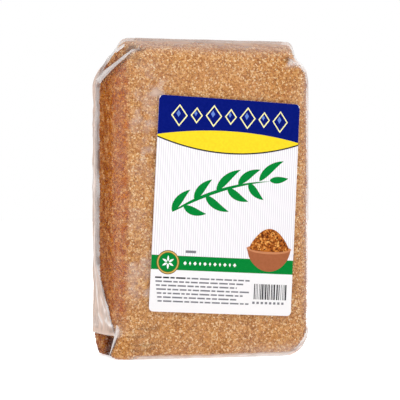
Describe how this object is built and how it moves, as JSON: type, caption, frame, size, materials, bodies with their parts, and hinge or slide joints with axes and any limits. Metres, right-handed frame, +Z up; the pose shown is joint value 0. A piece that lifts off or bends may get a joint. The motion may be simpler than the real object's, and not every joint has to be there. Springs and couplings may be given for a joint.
{
  "type": "pouch of sugar",
  "caption": "Upright block-shaped pouch of golden raw cane sugar in clear film, with tucked ends, a folded top seal and a paper label on its front.",
  "frame": {"origin": "middle of the base, on the surface that the pouch stands on", "axes": "+Z up along the pouch's height, -Y out of the labelled front, +X to the right as seen from the front"},
  "size_m": [0.102, 0.0476, 0.154],
  "materials": {
    "sugar": "golden brown sugar crystals pressed against clear glossy film",
    "film": "thin clear film, softly crinkled, whitish along its folds",
    "label": "white coated paper printed in dark blue, yellow and green"
  },
  "bodies": {
    "root": {"pouch": "sugar", "label": "label"}
  },
  "joints": []
}
